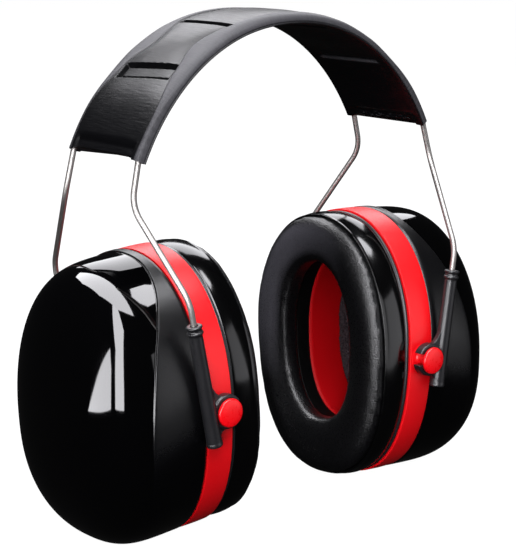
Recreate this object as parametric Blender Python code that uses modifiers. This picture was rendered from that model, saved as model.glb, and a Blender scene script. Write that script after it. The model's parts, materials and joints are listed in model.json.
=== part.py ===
"""Hearing protection earmuffs: a twin-wire headband that carries two oval ear cups.

Frame: X runs across the head, the front is at -Y, +Z is up, and the two cups stand on Z = 0.
Each cup is built in its own frame, with its origin where its tilt axis crosses the middle of
the red ring: +X points away from the head and +Z up along the oval. The left cup is the right
one turned half round the Z axis. Lengths are in metres.
"""
import math

import bmesh
import bpy
from mathutils import Euler, Matrix, Vector

OBJECT_NAME = "hearing_protection_earmuffs"

GAP = 0.0003                          # between solids that meet
MERGE = 0.00005                       # vertices closer than this are one

# Where the cups hang
PIVOT_X = 0.0506                      # tilt axis, from the middle of the head
PIVOT_Z = 0.0543                      # tilt axis, above the surface that the cups stand on
CUP_TILT = math.radians(2.7)          # the cups lean outward at the top

# Oval of the cup: a superellipse, blunter below than above
OVAL_COUNT = 32                       # corners round the oval
OVAL_CENTRE = 0.0035                  # the widest place, above the tilt axis
OVAL_HALF_WIDTH = 0.0390
OVAL_TOP = 0.0504                     # half heights above and below the widest place
OVAL_BOTTOM = 0.0570
OVAL_TOP_POWER = 2.10
OVAL_BOTTOM_POWER = 2.4

# Red suspension ring and its studs
RING_INNER = -0.0058
RING_OUTER = 0.0053
RING_THICK = 0.0035
STUD_RADIUS = 0.0030
STUD_ROOT = 0.0375                    # where the stud starts inside the ring wall
BUTTON_RADIUS = 0.00525
BUTTON_BACK = 0.0446                  # distances from the cup's middle plane
BUTTON_FACE = 0.0462
BUTTON_EDGE = 0.0005                  # rounding of the button's rim
BUTTON_SIDES = 20

# Outer casing
SHELL_LEAD = 0.0015                   # straight part of the wall beside the ring
SHELL_DEPTH = 0.0401                  # of the dome beyond it
SHELL_WALL = 0.0022
SHELL_STEPS = 9
SHELL_DROP = 0.0131                   # the widest place sinks this much to the dome's far end
TOP_KEEPS = 0.91                      # how much of that drop the top and the bottom make up
BOTTOM_KEEPS = 0.97
SHELL_FLAT = 0.985                    # how far along its depth the dome ends in a flat
SIDE_POWER = 5.8                      # the higher, the longer the wall stays straight
HEIGHT_POWER = 4.4
DOME_POWER = 2.05

# Black base: a skirt, a seat for the cushion's plate, and a collar round the opening
BASE_BACK = RING_INNER - GAP
BASE_FACE = -0.0184                   # the skirt's edge, beside the cushion
BASE_SEAT = -0.0122
BASE_COLLAR = -0.0055
BASE_INSET = 0.0005                   # the ring stands proud of the skirt by this much
BASE_TAPER = 0.0004
BASE_WALL = 0.0018
BASE_FLOOR = 0.0020
BASE_THROAT = 0.0175                  # from the oval to the inside of the collar
OPENING_BOTTOM = 0.9                  # the opening's lower half is less deep than the oval's

# Red inner casing, a bowl on a wide flange
BOWL_WALL = 0.0018
BOWL_FLANGE_INSET = RING_THICK + GAP
BOWL_INSET = BASE_THROAT - BOWL_WALL
BOWL_MOUTH = BASE_COLLAR + GAP + BOWL_WALL
BOWL_FLOOR = 0.0225
BOWL_END_INSET = 0.0040
BOWL_STEPS = 6

# Foam liner on the floor of the bowl
FOAM_FACE = 0.0080
FOAM_THICK = 0.0100
FOAM_INSET = BASE_THROAT + 2 * GAP + BOWL_END_INSET

# Cushion and its backing plate
PLATE_THICK = 0.0010
PLATE_INSET = BASE_INSET + BASE_TAPER + BASE_WALL + GAP
PLATE_FACE = BASE_SEAT - GAP - PLATE_THICK
CUSHION_BACK = PLATE_FACE - GAP
CUSHION_LIP = BASE_FACE - GAP         # where the cushion spreads over the skirt's edge
CUSHION_FACE = -0.0239
CUSHION_INSET = BASE_INSET + BASE_TAPER
CUSHION_THROAT = 0.0202               # from the oval to the inside of the cushion
CUSHION_OUTER_ROUND = 0.0085
CUSHION_INNER_ROUND = 0.0070
CUSHION_ARC_STEPS = 4

# Black arms that slide on the wires and clip onto the studs
ARM_TILT = math.radians(10.1)
ARM_PLANE = 0.0423                    # from the middle plane to the arm's axis
ARM_OFFSET = 0.0070                   # from the stud's axis to the arm's axis
ARM_TOP = 0.0354
ARM_BOTTOM = -0.0108
ARM_TUBE_RADIUS = 0.0025
ARM_FOOT_RADIUS = 0.0029
ARM_COLLAR_RADIUS = 0.0030
ARM_GROOVE_RADIUS = 0.0027
ARM_RIB = 0.0011
ARM_BORE_RADIUS = 0.0016
ARM_SIDES = 14
ARM_BORE_SIDES = 12
CLIP_RADIUS = 0.0064
CLIP_BORE_RADIUS = STUD_RADIUS + GAP
CLIP_THICK = 0.0038
CLIP_MOUTH = 0.0046                   # width of the open side of the clip
CLIP_SIDES = 24
CLIP_BORE_SIDES = 20
WEB_TOP = 0.0110                      # where the web leaves the tube, above the stud
WEB_REACH = 0.0054                    # how far the web reaches up and down the clip
WEB_THICK = 0.8 * CLIP_THICK

# Wires
WIRE_RADIUS = 0.0011
WIRE_Y = 0.0200                       # from the middle plane to a wire inside the band
WIRE_TAIL = -0.0025                   # lower end of the wire in the arm, above the stud's axis
LOWER_BEND = 0.0441                   # along the arm, above the stud's axis
UPPER_BEND_X = 0.0730
UPPER_BEND_Y = 0.0206
UPPER_BEND_Z = PIVOT_Z + 0.0739
BEND_RUN = 0.0045                     # from a bend's corner to where its curve starts

# Arch of the headband: a superellipse in the XZ plane, along the wires
ARCH_HALF_WIDTH = 0.0804
ARCH_RISE = 0.0980
ARCH_BASE_Z = PIVOT_Z + 0.0363
ARCH_POWER = 2.11
BAND_END_Z = PIVOT_Z + 0.0890
ARCH_STEPS = 23

# Headband sleeve, foam core and end spacers
BAND_HALF_WIDTH = 0.0219
BAND_OUT = 0.0019                     # from the wires' line to the outer face
BAND_IN = -0.0021                     # from the wires' line to the inner face
BAND_CORNER = 0.0014
BAND_CHANNEL_RADIUS = WIRE_RADIUS + GAP
BAND_CHANNEL_SIDES = 8
BAND_OVERRUN = 0.05                   # cutters run past the band's ends, in radians
PAD_HALF_WIDTH = 0.0170
PAD_HALF_THICK = 0.0010
PAD_CORNER = 0.0008
PAD_END = 0.07                        # the foam stops this much short of the band, in radians
SPACER_LENGTH = 0.0040

parts_collection = None
cutters_collection = None


# ---------------------------------------------------------------- scene and materials

def clear_scene():
    for obj in list(bpy.data.objects):
        bpy.data.objects.remove(obj, do_unlink=True)


def new_collection(name):
    collection = bpy.data.collections.new(name)
    bpy.context.scene.collection.children.link(collection)
    return collection


def plain_material(name, colour, roughness, metallic=0.0):
    material = bpy.data.materials.new(name)
    material.use_nodes = True
    shader = material.node_tree.nodes["Principled BSDF"]
    shader.inputs["Base Color"].default_value = (*colour, 1.0)
    shader.inputs["Roughness"].default_value = roughness
    shader.inputs["Metallic"].default_value = metallic
    return material


# ---------------------------------------------------------------- meshes

def as_object(name, mesh_data, collection=None):
    obj = bpy.data.objects.new(name, mesh_data)
    (collection or cutters_collection).objects.link(obj)
    return obj


def mesh_from_bmesh(name, bm):
    bmesh.ops.recalc_face_normals(bm, faces=bm.faces)
    mesh = bpy.data.meshes.new(name)
    bm.to_mesh(mesh)
    bm.free()
    return mesh


def loft(name, sections, ring=False, start_cap=True, end_cap=True):
    """Skin a list of equal-length point loops. ring=True joins the last loop to the first."""
    bm = bmesh.new()
    loops = [[bm.verts.new(point) for point in section] for section in sections]
    pairs = list(zip(loops, loops[1:]))
    if ring:
        pairs.append((loops[-1], loops[0]))
    count = len(sections[0])
    for first, second in pairs:
        for i in range(count):
            j = (i + 1) % count
            bm.faces.new((first[i], first[j], second[j], second[i]))
    if not ring and start_cap:
        bm.faces.new(loops[0])
    if not ring and end_cap:
        bm.faces.new(loops[-1])
    return mesh_from_bmesh(name, bm)


def evaluated_mesh(obj, name):
    """The mesh that an object's modifiers give; the object goes away."""
    bpy.context.view_layer.update()
    graph = bpy.context.evaluated_depsgraph_get()
    mesh = bpy.data.meshes.new_from_object(obj.evaluated_get(graph))
    mesh.name = name
    mesh.transform(obj.matrix_world)
    bpy.data.objects.remove(obj, do_unlink=True)
    return mesh


def combine(name, base_mesh, *steps):
    """Join or cut a mesh with others: each step is (operation, mesh)."""
    base = as_object(name, base_mesh)
    tools = []
    for operation, tool_mesh in steps:
        tool = as_object(name + "_tool", tool_mesh)
        tool.hide_render = True
        tool.display_type = "WIRE"
        modifier = base.modifiers.new("combine", "BOOLEAN")
        modifier.operation = operation
        modifier.object = tool
        tools.append(tool)
    mesh = evaluated_mesh(base, name)
    for tool in tools:
        bpy.data.objects.remove(tool, do_unlink=True)
    return mesh


def solidified(name, mesh, thickness):
    """Give an open surface a wall on its inner side."""
    obj = as_object(name, mesh)
    modifier = obj.modifiers.new("wall", "SOLIDIFY")
    modifier.thickness = thickness
    modifier.offset = -1.0
    modifier.use_even_offset = True
    return evaluated_mesh(obj, name)


def turned(name, profile, count):
    """A solid turned round Z from (radius, height) points that run down its outer side."""
    bm = bmesh.new()
    points = [bm.verts.new((radius, 0.0, height)) for radius, height in profile]
    for first, second in zip(points, points[1:]):
        bm.edges.new((first, second))
    mesh = bpy.data.meshes.new(name)
    bm.to_mesh(mesh)
    bm.free()
    obj = as_object(name, mesh)
    screw = obj.modifiers.new("turn", "SCREW")
    screw.steps = count
    screw.render_steps = count
    screw.use_merge_vertices = True
    screw.merge_threshold = MERGE
    return evaluated_mesh(obj, name)


def cylinder(name, radius, start, end, count=16):
    """A cylinder between two points."""
    axis = Vector(end) - Vector(start)
    bm = bmesh.new()
    turn = axis.to_track_quat("Z", "Y").to_matrix().to_4x4()
    place = Matrix.Translation((Vector(start) + Vector(end)) / 2) @ turn
    bmesh.ops.create_cone(bm, cap_ends=True, segments=count, radius1=radius, radius2=radius,
                          depth=axis.length, matrix=place)
    return mesh_from_bmesh(name, bm)


def block(name, low, high):
    bm = bmesh.new()
    size = [b - a for a, b in zip(low, high)]
    middle = [(a + b) / 2 for a, b in zip(low, high)]
    place = Matrix.Translation(middle) @ Matrix.Diagonal((*size, 1.0))
    bmesh.ops.create_cube(bm, size=1.0, matrix=place)
    return mesh_from_bmesh(name, bm)


def place_part(name, mesh, material, parent=None):
    """Put one named part in the collection, its origin on its parent's."""
    obj = as_object(name, mesh, parts_collection)
    obj.data.materials.clear()
    obj.data.materials.append(material)
    obj.data.shade_smooth()
    obj.data.set_sharp_from_angle(angle=math.radians(35))
    obj.parent = parent
    return obj


# ---------------------------------------------------------------- the oval

def signed_power(value, power):
    return math.copysign(abs(value) ** power, value)


def oval(depth, inset=0.0, side=1.0, top=1.0, bottom=1.0, drop=0.0):
    """The cup's oval at one depth, moved in by inset and scaled towards its widest place."""
    points = []
    for i in range(OVAL_COUNT):
        angle = 2 * math.pi * i / OVAL_COUNT
        across, up = math.cos(angle), math.sin(angle)
        power = OVAL_TOP_POWER if up > 0 else OVAL_BOTTOM_POWER
        half_height = (OVAL_TOP - inset) * top if up > 0 else (OVAL_BOTTOM - inset) * bottom
        y = (OVAL_HALF_WIDTH - inset) * side * signed_power(across, 2 / power)
        z = half_height * signed_power(up, 2 / power)
        points.append((depth, y, z + OVAL_CENTRE - drop))
    return points


# ---------------------------------------------------------------- ear cup parts

def outer_shell_mesh():
    start = RING_OUTER + GAP + SHELL_LEAD
    sections = [oval(start - SHELL_LEAD)]
    for i in range(SHELL_STEPS):
        reach = SHELL_FLAT * math.sin(0.5 * math.pi * i / (SHELL_STEPS - 1))
        drop = SHELL_DROP * reach
        side = (1 - reach ** SIDE_POWER) ** (1 / DOME_POWER)
        height = (1 - reach ** HEIGHT_POWER) ** (1 / DOME_POWER)
        sections.append(oval(start + SHELL_DEPTH * reach, 0.0, side,
                             height * (1 + TOP_KEEPS * drop / OVAL_TOP),
                             height * (1 - BOTTOM_KEEPS * drop / OVAL_BOTTOM), drop))
    surface = loft("outer_shell", sections, start_cap=False)
    return solidified("outer_shell", surface, SHELL_WALL)


def suspension_ring_mesh():
    ring = loft("ring", [oval(RING_INNER), oval(RING_OUTER),
                         oval(RING_OUTER, RING_THICK), oval(RING_INNER, RING_THICK)], ring=True)
    steps = []
    for side in (-1, 1):
        neck_end = side * (BUTTON_BACK + BUTTON_EDGE)
        steps.append(("UNION", cylinder("neck", STUD_RADIUS, (0, side * STUD_ROOT, 0),
                                        (0, neck_end, 0))))
        profile = [(0.0, BUTTON_FACE), (BUTTON_RADIUS - 2 * BUTTON_EDGE, BUTTON_FACE),
                   (BUTTON_RADIUS, BUTTON_FACE - 2 * BUTTON_EDGE),
                   (BUTTON_RADIUS, BUTTON_BACK), (0.0, BUTTON_BACK)]
        button = turned("button", profile, BUTTON_SIDES)
        button.transform(Matrix.Rotation(-side * math.pi / 2, 4, "X"))
        steps.append(("UNION", button))
    return combine("suspension_ring", ring, *steps)


def opening(depth, inset):
    """The oval of the ear opening, whose lower half is less deep than the cup's."""
    return oval(depth, inset, bottom=OPENING_BOTTOM)


def base_rim_mesh():
    edge = BASE_INSET + BASE_TAPER
    wall, collar = edge + BASE_WALL, BASE_THROAT - BASE_WALL
    floor = BASE_SEAT + BASE_FLOOR
    return loft("base_rim", [oval(BASE_BACK, BASE_INSET), oval(BASE_FACE, edge),
                             oval(BASE_FACE, wall), oval(BASE_SEAT, wall),
                             opening(BASE_SEAT, BASE_THROAT), opening(BASE_COLLAR, BASE_THROAT),
                             opening(BASE_COLLAR, collar), opening(floor, collar),
                             oval(floor, wall), oval(BASE_BACK, wall)], ring=True)


def inner_casing_mesh():
    sections = [oval(BOWL_MOUTH, BOWL_FLANGE_INSET)]
    for i in range(BOWL_STEPS):
        reach = i / (BOWL_STEPS - 1)
        depth = BOWL_MOUTH + (BOWL_FLOOR - BOWL_MOUTH) * math.sin(0.5 * math.pi * reach)
        sections.append(opening(depth, BOWL_INSET + BOWL_END_INSET * reach ** 3))
    surface = loft("inner_casing", sections, start_cap=False)
    return solidified("inner_casing", surface, BOWL_WALL)


def foam_liner_mesh():
    return loft("foam_liner", [opening(FOAM_FACE, FOAM_INSET),
                               opening(FOAM_FACE + FOAM_THICK, FOAM_INSET)])


def cushion_plate_mesh():
    back = BASE_SEAT - GAP
    return loft("cushion_plate", [oval(back, PLATE_INSET), oval(PLATE_FACE, PLATE_INSET),
                                  opening(PLATE_FACE, BASE_THROAT),
                                  opening(back, BASE_THROAT)], ring=True)


def cushion_mesh():
    """A ring that fills the skirt's recess and rounds over to its face and its opening."""
    sections = [oval(CUSHION_BACK, PLATE_INSET), oval(CUSHION_LIP, PLATE_INSET),
                oval(CUSHION_LIP, CUSHION_INSET)]
    depth_round = CUSHION_LIP - CUSHION_FACE
    for i in range(1, CUSHION_ARC_STEPS + 1):
        angle = 0.5 * math.pi * i / CUSHION_ARC_STEPS
        sections.append(oval(CUSHION_LIP - depth_round * math.sin(angle),
                             CUSHION_INSET + CUSHION_OUTER_ROUND * (1 - math.cos(angle))))
    for i in range(CUSHION_ARC_STEPS):
        angle = 0.5 * math.pi * i / (CUSHION_ARC_STEPS - 1)
        sections.append(opening(CUSHION_FACE + CUSHION_INNER_ROUND * (1 - math.cos(angle)),
                                CUSHION_THROAT - CUSHION_INNER_ROUND * (1 - math.sin(angle))))
    sections.append(opening(CUSHION_BACK, CUSHION_THROAT))
    return loft("cushion", sections, ring=True)


# ---------------------------------------------------------------- arms

def arm_mesh():
    """One arm in its own frame: the stud's axis is Y, the tube runs along Z at X = offset."""
    rib, collar, groove = ARM_RIB, ARM_COLLAR_RADIUS, ARM_GROOVE_RADIUS
    profile = [(0.0, ARM_TOP), (collar, ARM_TOP), (collar, ARM_TOP - rib),
               (groove, ARM_TOP - rib), (groove, ARM_TOP - 2 * rib),
               (collar, ARM_TOP - 2 * rib), (collar, ARM_TOP - 3 * rib),
               (ARM_TUBE_RADIUS, ARM_TOP - 3.5 * rib), (ARM_FOOT_RADIUS, ARM_BOTTOM),
               (0.0, ARM_BOTTOM)]
    tube = turned("arm", profile, ARM_SIDES)
    tube.transform(Matrix.Translation((ARM_OFFSET, 0, 0)))
    half = CLIP_THICK / 2
    clip = cylinder("clip", CLIP_RADIUS, (0, -half, 0), (0, half, 0), CLIP_SIDES)
    web_points = [(0.0, WEB_REACH), (ARM_OFFSET, WEB_TOP), (ARM_OFFSET, -CLIP_RADIUS),
                  (0.0, -WEB_REACH)]
    web = loft("web", [[(x, y, z) for x, z in web_points]
                       for y in (-WEB_THICK / 2, WEB_THICK / 2)])
    bore = cylinder("bore", CLIP_BORE_RADIUS, (0, -CLIP_THICK, 0), (0, CLIP_THICK, 0),
                    CLIP_BORE_SIDES)
    mouth = block("mouth", (-2 * CLIP_RADIUS, -CLIP_THICK, -CLIP_MOUTH / 2),
                  (0, CLIP_THICK, CLIP_MOUTH / 2))
    wire_hole = cylinder("wire_hole", ARM_BORE_RADIUS, (ARM_OFFSET, 0, 2 * ARM_BOTTOM),
                         (ARM_OFFSET, 0, 2 * ARM_TOP), ARM_BORE_SIDES)
    return combine("arm", tube, ("UNION", clip), ("UNION", web), ("DIFFERENCE", bore),
                   ("DIFFERENCE", mouth), ("DIFFERENCE", wire_hole))


# ---------------------------------------------------------------- headband

def arch_point(angle, offset=0.0):
    """A point on the arch's line at one angle, moved along the outward normal."""
    x = ARCH_HALF_WIDTH * signed_power(math.cos(angle), 2 / ARCH_POWER)
    z = ARCH_RISE * signed_power(math.sin(angle), 2 / ARCH_POWER)
    normal = Vector((signed_power(x / ARCH_HALF_WIDTH, ARCH_POWER - 1) / ARCH_HALF_WIDTH,
                     0, abs(z / ARCH_RISE) ** (ARCH_POWER - 1) / ARCH_RISE)).normalized()
    return Vector((x, 0, z + ARCH_BASE_Z)) + normal * offset


def arch_end_angle():
    """The angle at which the arch comes down to the end of the band."""
    height = (BAND_END_Z - ARCH_BASE_Z) / ARCH_RISE
    return math.asin(height ** (ARCH_POWER / 2))


def arch_angles(count, beyond=0.0):
    end = arch_end_angle() - beyond
    return [end + (math.pi - 2 * end) * i / (count - 1) for i in range(count)]


def swept(name, section, count, beyond=0.0):
    """Sweep (across, out) points along the arch. beyond lengthens both ends, in radians."""
    return loft(name, [[arch_point(angle, out) + Vector((0, across, 0))
                        for across, out in section]
                       for angle in arch_angles(count, beyond)])


def rounded_rectangle(half_width, low, high, corner, corner_steps=2):
    points = []
    corners = [(half_width, high, 0), (-half_width, high, 90),
               (-half_width, low, 180), (half_width, low, 270)]
    for across, out, start in corners:
        centre_across = across - math.copysign(corner, across)
        centre_out = out - corner if out == high else out + corner
        for i in range(corner_steps + 1):
            angle = math.radians(start + 90 * i / corner_steps)
            points.append((centre_across + corner * math.cos(angle),
                           centre_out + corner * math.sin(angle)))
    return points


def circle(across, radius, count):
    return [(across + radius * math.cos(2 * math.pi * i / count),
             radius * math.sin(2 * math.pi * i / count)) for i in range(count)]


def headband_cover_mesh():
    sleeve = swept("headband_cover",
                   rounded_rectangle(BAND_HALF_WIDTH, BAND_IN, BAND_OUT, BAND_CORNER),
                   ARCH_STEPS)
    steps = [("DIFFERENCE", swept("channel",
                                  circle(side * WIRE_Y, BAND_CHANNEL_RADIUS, BAND_CHANNEL_SIDES),
                                  ARCH_STEPS, BAND_OVERRUN)) for side in (-1, 1)]
    steps.append(("DIFFERENCE", swept("pocket", pad_section(GAP), ARCH_STEPS, BAND_OVERRUN)))
    return combine("headband_cover", sleeve, *steps)


def pad_section(grow=0.0):
    """Outline of the foam core, or of the pocket that it lies in."""
    half_thick = PAD_HALF_THICK + grow
    return rounded_rectangle(PAD_HALF_WIDTH + grow, -half_thick, half_thick, PAD_CORNER, 1)


def headband_pad_mesh():
    return swept("headband_pad", pad_section(), ARCH_STEPS, -PAD_END)


def fillet(before, corner, after, run, count=5):
    """A smooth bend through a corner: a parabola that meets both straight runs."""
    start = corner + (before - corner).normalized() * run
    end = corner + (after - corner).normalized() * run
    points = []
    for i in range(count):
        t = i / (count - 1)
        points.append(start * (1 - t) ** 2 + corner * 2 * t * (1 - t) + end * t ** 2)
    return points


def arm_frame_point(height):
    """A point on the axis of the right arm's tube, at a height above the stud's axis."""
    turn = Euler((0, ARM_TILT, 0)).to_matrix()
    local = turn @ Vector((ARM_OFFSET, 0, height))
    return local + Vector((PIVOT_X, ARM_PLANE, PIVOT_Z))


def wire_route():
    """Half of a wire, from its tail in the right arm up to the crown, at +Y."""
    tail, lower = arm_frame_point(WIRE_TAIL), arm_frame_point(LOWER_BEND)
    upper = Vector((UPPER_BEND_X, UPPER_BEND_Y, UPPER_BEND_Z))
    across = Vector((0, WIRE_Y, 0))
    arch = [arch_point(angle) + across for angle in arch_angles(2 * ARCH_STEPS - 1)]
    arch = arch[:ARCH_STEPS]
    route = [tail, tail.lerp(lower, 0.5)]
    route += fillet(tail, lower, upper, BEND_RUN)
    route += fillet(lower, upper, arch[0], BEND_RUN)
    return route + arch


def wire_mesh(name):
    right = wire_route()
    left = [Vector((-point.x, point.y, point.z)) for point in reversed(right[:-1])]
    points = right + left
    curve = bpy.data.curves.new(name, "CURVE")
    curve.dimensions = "3D"
    curve.bevel_depth = WIRE_RADIUS
    curve.bevel_resolution = 2
    curve.use_fill_caps = True
    spline = curve.splines.new("POLY")
    spline.points.add(len(points) - 1)
    for target, point in zip(spline.points, points):
        target.co = (*point, 1.0)
    mesh = evaluated_mesh(as_object(name, curve), name)
    bm = bmesh.new()
    bm.from_mesh(mesh)
    bmesh.ops.remove_doubles(bm, verts=bm.verts, dist=MERGE)
    return mesh_from_bmesh(name, bm)


def spacer_mesh():
    """The folded end of the right side of the band, in the mouth of the sleeve's pocket."""
    end_angle = arch_end_angle()
    tip = arch_point(end_angle)
    next_angle = arch_angles(ARCH_STEPS)[1]
    along = (arch_point(next_angle) - tip).normalized()
    out = Vector((along.z, 0, -along.x))
    sections = [[centre + Vector((0, across, 0)) + out * lift for across, lift in pad_section()]
                for centre in (tip, tip + along * SPACER_LENGTH)]
    return loft("band_end", sections)


# ---------------------------------------------------------------- assembly

def build():
    global parts_collection, cutters_collection
    clear_scene()
    parts_collection = new_collection(OBJECT_NAME)
    cutters_collection = new_collection("cutters")

    gloss_black = plain_material("gloss_black_plastic", (0.008, 0.008, 0.009), 0.08)
    satin_black = plain_material("satin_black_plastic", (0.012, 0.012, 0.013), 0.4)
    red = plain_material("red_plastic", (0.75, 0.02, 0.03), 0.35)
    steel = plain_material("stainless_wire", (0.6, 0.58, 0.55), 0.25, 1.0)
    leatherette = plain_material("black_leatherette", (0.015, 0.015, 0.016), 0.45)
    foam_grey = plain_material("grey_foam", (0.06, 0.06, 0.062), 0.95)

    cup_meshes = [
        ("outer_shell", outer_shell_mesh(), gloss_black),
        ("suspension_ring", suspension_ring_mesh(), red),
        ("base_rim", base_rim_mesh(), gloss_black),
        ("inner_casing", inner_casing_mesh(), red),
        ("foam_liner", foam_liner_mesh(), foam_grey),
        ("cushion_plate", cushion_plate_mesh(), satin_black),
        ("cushion", cushion_mesh(), leatherette),
    ]
    arm = arm_mesh()
    spacer = spacer_mesh()

    for side, sign in (("left", -1), ("right", 1)):
        turn = math.pi if sign < 0 else 0.0
        pivot = as_object(side + "_cup_pivot", None, parts_collection)
        pivot.location = (sign * PIVOT_X, 0, PIVOT_Z)
        pivot.rotation_euler = (0, CUP_TILT, turn)
        for name, mesh, material in cup_meshes:
            place_part(side + "_" + name, mesh, material, pivot)
        for place, across in (("front", -1), ("rear", 1)):
            hang = as_object(side + "_" + place + "_arm_pivot", None, parts_collection)
            hang.location = (sign * PIVOT_X, across * ARM_PLANE, PIVOT_Z)
            hang.rotation_euler = (0, ARM_TILT, turn)
            place_part(side + "_" + place + "_arm", arm, satin_black, hang)
        spacer_side = spacer if sign > 0 else spacer.copy()
        if sign < 0:
            spacer_side.transform(Matrix.Rotation(math.pi, 4, "Z"))
        place_part(side + "_band_end", spacer_side, leatherette)

    rear = wire_mesh("wire")
    front = rear.copy()
    front.transform(Matrix.Rotation(math.pi, 4, "Z"))
    place_part("rear_wire", rear, steel)
    place_part("front_wire", front, steel)
    place_part("headband_cover", headband_cover_mesh(), leatherette)
    place_part("headband_pad", headband_pad_mesh(), foam_grey)


build()
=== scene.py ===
"""Looks of the hearing protection earmuffs: fine surfaces, soft parts, materials, light and camera.

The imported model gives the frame. Each ear cup is shaped in its own frame, whose origin is where
the cup's tilt axis crosses the middle of the red ring: +X points away from the head, +Z up along
the oval. Lengths are in metres.
"""
import json
import math

import bmesh
import bpy
import numpy as np
from mathutils import Matrix, Vector, noise


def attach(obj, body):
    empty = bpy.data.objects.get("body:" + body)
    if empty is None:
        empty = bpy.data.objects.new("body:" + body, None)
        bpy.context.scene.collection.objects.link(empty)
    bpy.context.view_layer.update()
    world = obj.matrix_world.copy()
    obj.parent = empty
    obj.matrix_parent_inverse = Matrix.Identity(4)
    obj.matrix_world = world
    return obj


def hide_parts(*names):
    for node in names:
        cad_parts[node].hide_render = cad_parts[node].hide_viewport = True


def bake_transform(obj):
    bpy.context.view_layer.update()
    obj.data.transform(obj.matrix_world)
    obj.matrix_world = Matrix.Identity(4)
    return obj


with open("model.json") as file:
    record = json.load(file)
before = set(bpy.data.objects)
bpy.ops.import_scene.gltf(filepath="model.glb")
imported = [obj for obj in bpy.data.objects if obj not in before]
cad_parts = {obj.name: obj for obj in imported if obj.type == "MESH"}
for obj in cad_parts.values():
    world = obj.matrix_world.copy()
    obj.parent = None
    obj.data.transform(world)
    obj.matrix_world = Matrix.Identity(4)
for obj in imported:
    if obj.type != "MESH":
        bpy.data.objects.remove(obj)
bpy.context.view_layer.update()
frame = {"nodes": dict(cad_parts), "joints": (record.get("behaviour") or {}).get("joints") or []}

JOINTS = {joint["name"]: joint for joint in frame["joints"]}
SIDES = {"left": -1, "right": 1}
PIVOTS = {side: Vector(JOINTS[side + "_tilt"]["pos_m"]) for side in SIDES}
PIVOT_Z = PIVOTS["right"].z

# Cup: lean, and the oval that every ring of it follows
CUP_TILT = math.radians(2.7)
OVAL_CENTRE = 0.0035
OVAL_HALF_WIDTH = 0.0390
OVAL_TOP = 0.0504
OVAL_BOTTOM = 0.0570
OVAL_TOP_POWER = 2.10
OVAL_BOTTOM_POWER = 2.4
OPENING_BOTTOM = 0.9
COLUMNS = 192                      # points round the oval

# Dome of the outer shell
RING_INNER = -0.0058
RING_OUTER = 0.0053
BEAD_END = RING_INNER - 0.0021     # where the satin bead beside the ring ends
SHELL_START = RING_OUTER + 0.0003
SHELL_LEAD = 0.0015
SHELL_DEPTH = 0.0401
SHELL_WALL = 0.0022
SHELL_DROP = 0.0131
# (depth, inset) of the loops that make the dome's lip beside the ring
SHELL_LIP = ((0.0, 0.0020), (0.0, 0.0008), (0.0001, 0.0005), (0.0004, 0.0003), (0.0010, 0.0001))
TOP_KEEPS, BOTTOM_KEEPS = 0.91, 0.97               # how much of the drop each half keeps up with
SIDE_POWER, HEIGHT_POWER, DOME_POWER = 5.8, 4.4, 2.05

# Matt cheeks: where they end, as (degrees from the top, depth), and how far they lie back
CHEEK_EDGE = ((0, 0.0104), (18, 0.0110), (30, 0.0138), (40, 0.0178), (52, 0.0226), (69, 0.0267),
              (89, 0.0290), (110, 0.0294), (140, 0.0285), (180, 0.0260))
CHEEK_STEP = 0.0006
CHEEK_WALL = 0.0005                # how far the step takes along the shell
CHEEK_FALL = ((0.25, 0.08), (0.5, 0.45), (0.75, 0.88), (1.0, 1.0))     # the step's own profile
CHEEK_FADE = (88, 135)             # degrees from the top over which the step dies out
CHEEK_ROWS, FIELD_ROWS = 22, 60

# Base rim and cushion: depths from the ring's middle, and insets from the cup's oval
BASE_FACE = -0.0184
BASE_THROAT = 0.0175
THROAT_EDGE = 0.0040               # inset at which the skirt's polish ends
CUSHION_FACE = -0.0239
CUSHION_THROAT = 0.0202            # inset of the cushion's own opening
CUSHION_INSET = 0.0019

# How far each cup has turned between its arms, and its skirt and cushion beyond that
CUP_ROLL = {"left": 0.0, "right": math.radians(2.2)}
SKIRT_TWIST = math.radians(3.2)


# ---- numbers

def smoothstep(low, high, value):
    t = np.clip((np.asarray(value, float) - low) / (high - low), 0.0, 1.0)
    return t * t * (3 - 2 * t)


def mix(a, b, t):
    return a + (b - a) * t


def quarter_turn(steps, start=0.0):
    """(sine, 1 - cosine) pairs along a quarter of a circle, from a share of it onwards."""
    for share in np.linspace(start, 1, steps):
        turn = 0.5 * math.pi * share
        yield math.sin(turn), 1 - math.cos(turn)


def bell(distance, width):
    return math.exp(-((distance / width) ** 2))


def bend(start, corner, end, steps):
    """Points along a smooth bend that leaves start towards a corner and ends coming from it."""
    return [start * (1 - t) ** 2 + corner * 2 * t * (1 - t) + end * t * t
            for t in np.linspace(0, 1, steps)]


def smooth_curve(points, values):
    """Read a curve through a few (place, height) points, without corners, at one or more places."""
    places, heights = np.array(points, float).T
    slopes = np.gradient(heights, places)
    values = np.clip(values, places[0], places[-1])
    i = np.clip(np.searchsorted(places, values) - 1, 0, len(places) - 2)
    run = places[i + 1] - places[i]
    t = (values - places[i]) / run
    return ((2 * t ** 3 - 3 * t ** 2 + 1) * heights[i] + (t ** 3 - 2 * t ** 2 + t) * run * slopes[i]
            + (3 * t ** 2 - 2 * t ** 3) * heights[i + 1] + (t ** 3 - t ** 2) * run * slopes[i + 1])


# ---- meshes

def shade_smooth(obj, sharp_degrees=None):
    obj.data.shade_smooth()
    if sharp_degrees:
        obj.data.set_sharp_from_angle(angle=math.radians(sharp_degrees))
    return obj


def mesh_object(name, vertices, faces):
    mesh = bpy.data.meshes.new(name)
    mesh.from_pydata([tuple(v) for v in vertices], [], faces)
    bm = bmesh.new()
    bm.from_mesh(mesh)
    bmesh.ops.recalc_face_normals(bm, faces=bm.faces)
    bm.to_mesh(mesh)
    bm.free()
    obj = bpy.data.objects.new(name, mesh)
    bpy.context.scene.collection.objects.link(obj)
    return shade_smooth(obj)


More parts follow.
